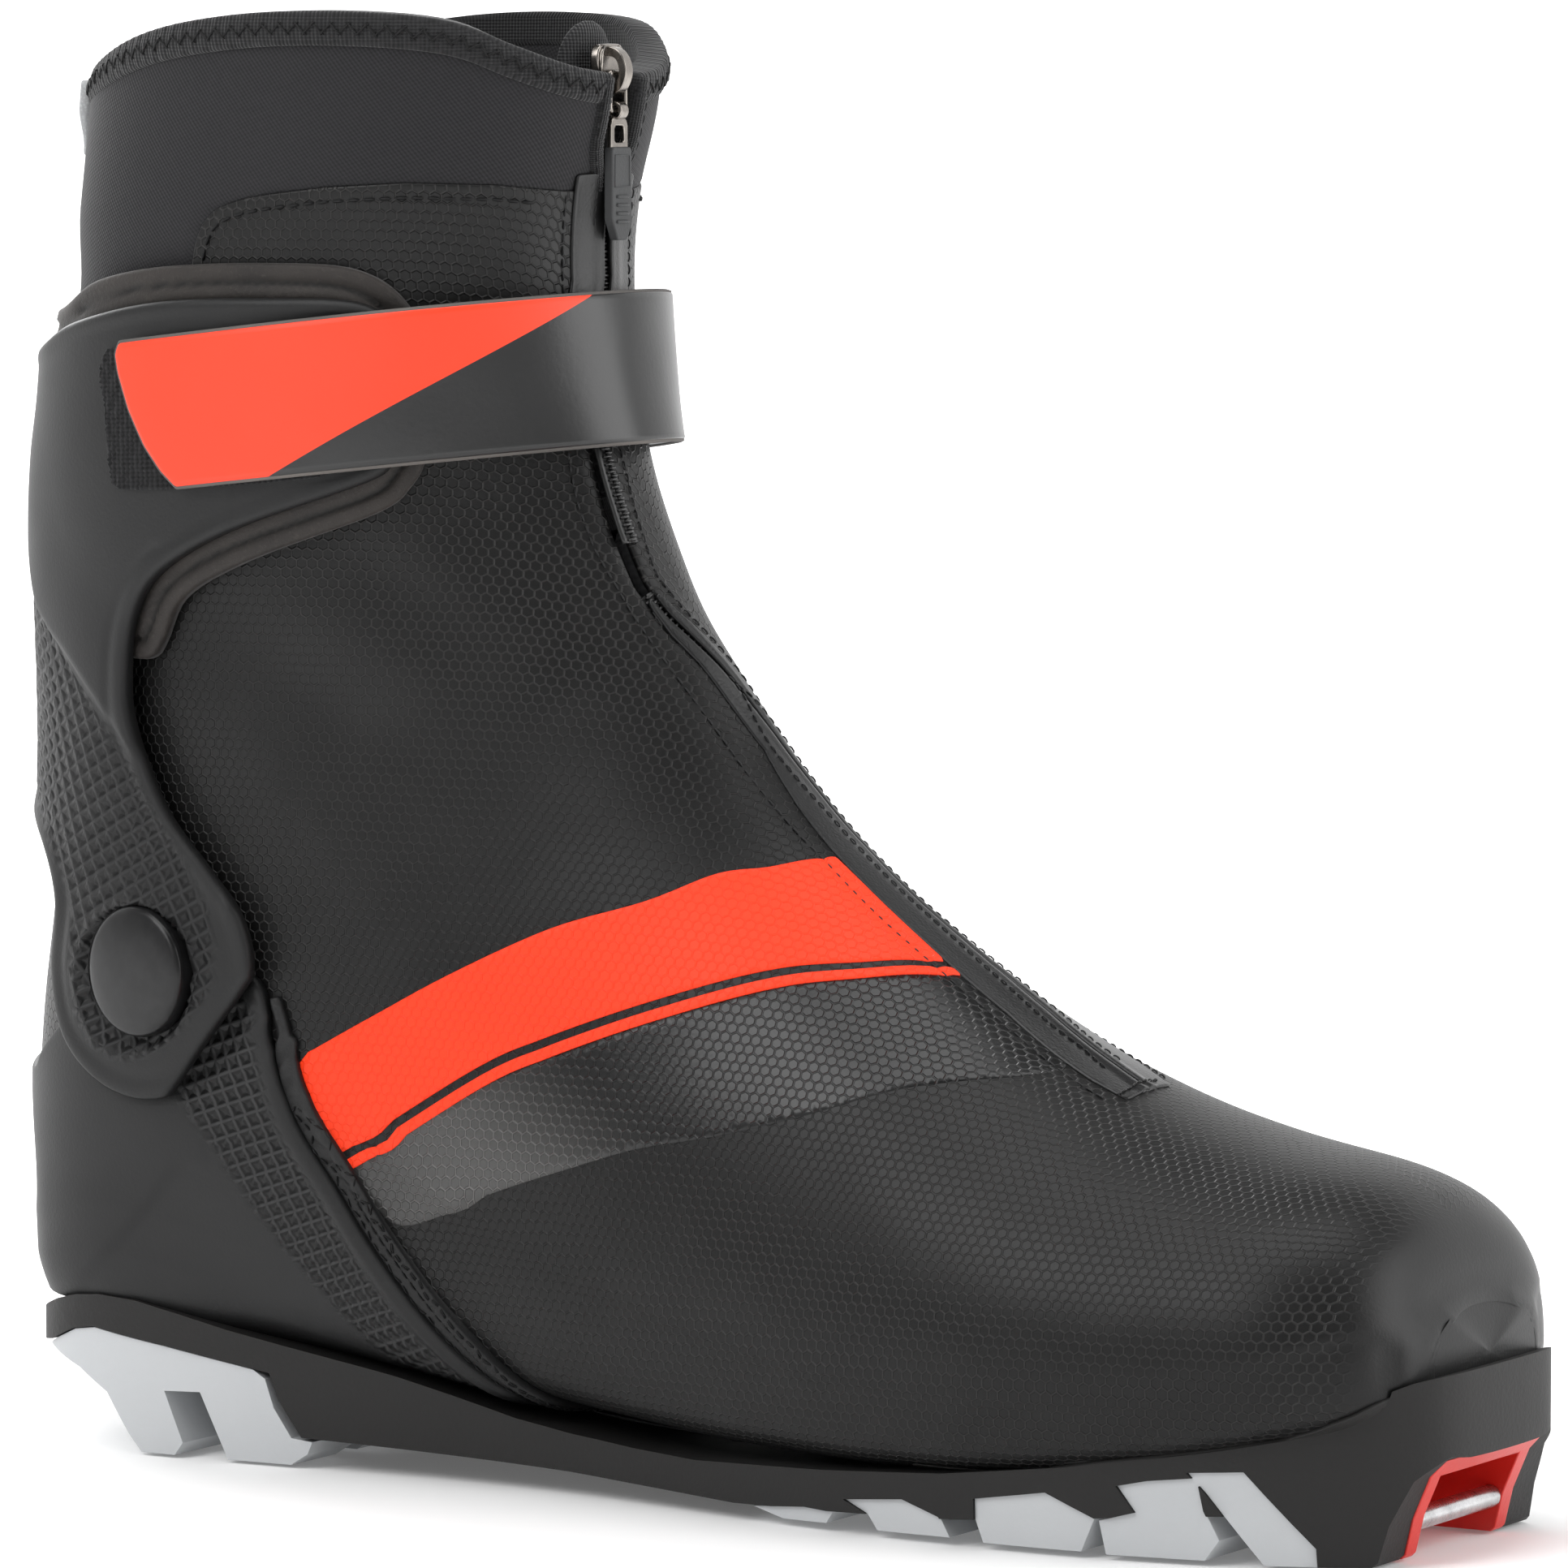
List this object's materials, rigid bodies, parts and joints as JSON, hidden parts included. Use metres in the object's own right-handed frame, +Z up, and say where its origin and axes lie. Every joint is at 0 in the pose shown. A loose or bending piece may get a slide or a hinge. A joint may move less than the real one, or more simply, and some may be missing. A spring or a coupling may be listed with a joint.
{
  "type": "cross country ski boot",
  "caption": "Ankle-high cross country skating boot with a pivoting ankle cuff, wrap strap, front zipper, neoprene collar and a grooved sole with a toe binding bar.",
  "frame": {"origin": "middle of the footprint, on the floor under the sole", "axes": "+Z up, +X towards the toe, +Y towards the medial (inner) side of a right foot"},
  "size_m": [0.3015, 0.1001, 0.2636],
  "materials": {
    "sole_rubber": "matt",
    "tread_white": "satin",
    "toe_red": "satin",
    "bar_steel": "polished",
    "shank_fibre": "matt",
    "board_fibre": "matt",
    "footbed_foam": "matt",
    "upper_hex": "satin",
    "lining": "matt",
    "stiffener": "matt",
    "band_orange": "satin",
    "heel_cup_tpu": "matt",
    "trim_padded": "satin",
    "pivot_steel": "satin",
    "cap_gloss": "glossy",
    "cuff_soft": "matt",
    "pad_foam": "matt",
    "collar_neoprene": "matt",
    "hem_knit": "matt",
    "tab_reflective": "satin",
    "hook_tape": "matt",
    "strap_coated": "satin",
    "rivet_metal": "satin",
    "facing_film": "satin",
    "chain_nylon": "satin",
    "slider_gunmetal": "polished",
    "grip_rubber": "matt",
    "guard_knit": "matt"
  },
  "bodies": {
    "foot": {"outsole": "sole_rubber", "heel_tread": "tread_white", "tread_lateral": "tread_white", "tread_centre": "tread_white", "tread_medial": "tread_white", "toe_insert": "toe_red", "binding_bar": "bar_steel", "shank": "shank_fibre", "insole_board": "board_fibre", "footbed": "footbed_foam", "vamp_cover": "upper_hex", "vamp_lining": "lining", "quarter_lining": "lining", "heel_counter": "stiffener", "toe_stiffener": "stiffener", "ankle_gusset": "band_orange", "zip_facing_lower": "facing_film", "zipper_chain_lower": "chain_nylon", "heel_cup": "heel_cup_tpu", "side_trim_lateral": "trim_padded", "side_trim_medial": "trim_padded", "pivot_pin_lateral": "pivot_steel", "pivot_pin_medial": "pivot_steel"},
    "cuff": {"shaft_cover": "upper_hex", "collar": "collar_neoprene", "collar_binding": "hem_knit", "zip_facing_upper": "facing_film", "zipper_chain_upper": "chain_nylon", "zip_guard": "guard_knit", "cuff_shell": "cuff_soft", "cuff_pad": "pad_foam", "hook_patch": "hook_tape", "strap_anchor": "strap_coated", "strap_rivets": "rivet_metal", "pivot_cap_lateral": "cap_gloss", "pivot_cap_medial": "cap_gloss", "pull_tab": "tab_reflective"},
    "closure_strap": {"strap": "strap_coated"},
    "slider": {"zip_slider": "slider_gunmetal"},
    "pull_link": {"zip_pull_link": "slider_gunmetal"},
    "pull_tab_grip": {"zip_pull_tab": "grip_rubber"}
  },
  "joints": [
    {"name": "ankle_flex", "type": "hinge", "parent": "foot", "child": "cuff", "pos_m": [-0.1044, -0.001, 0.09], "axis": [0, 1, 0], "range_deg": [-3, 15], "stiffness_Nm_per_rad": 8, "deforming": ["ankle_gusset"]},
    {"name": "strap_open", "type": "hinge", "parent": "cuff", "child": "closure_strap", "pos_m": [-0.0527, 0.0417, 0.1963], "axis": [0, 0, 1], "range_deg": [0, 70]},
    {"name": "zip_slide", "type": "slide", "parent": "cuff", "child": "slider", "axis": [0, 0, -1], "range_m": [0, 0.006]},
    {"name": "link_swing", "type": "hinge", "parent": "slider", "child": "pull_link", "pos_m": [-0.0293, -0.001, 0.2521], "axis": [0, -1, 0], "range_deg": [0, 75]},
    {"name": "tab_swing", "type": "hinge", "parent": "pull_link", "child": "pull_tab_grip", "pos_m": [-0.0293, -0.001, 0.2453], "axis": [0, -1, 0], "range_deg": [0, 80]}
  ]
}
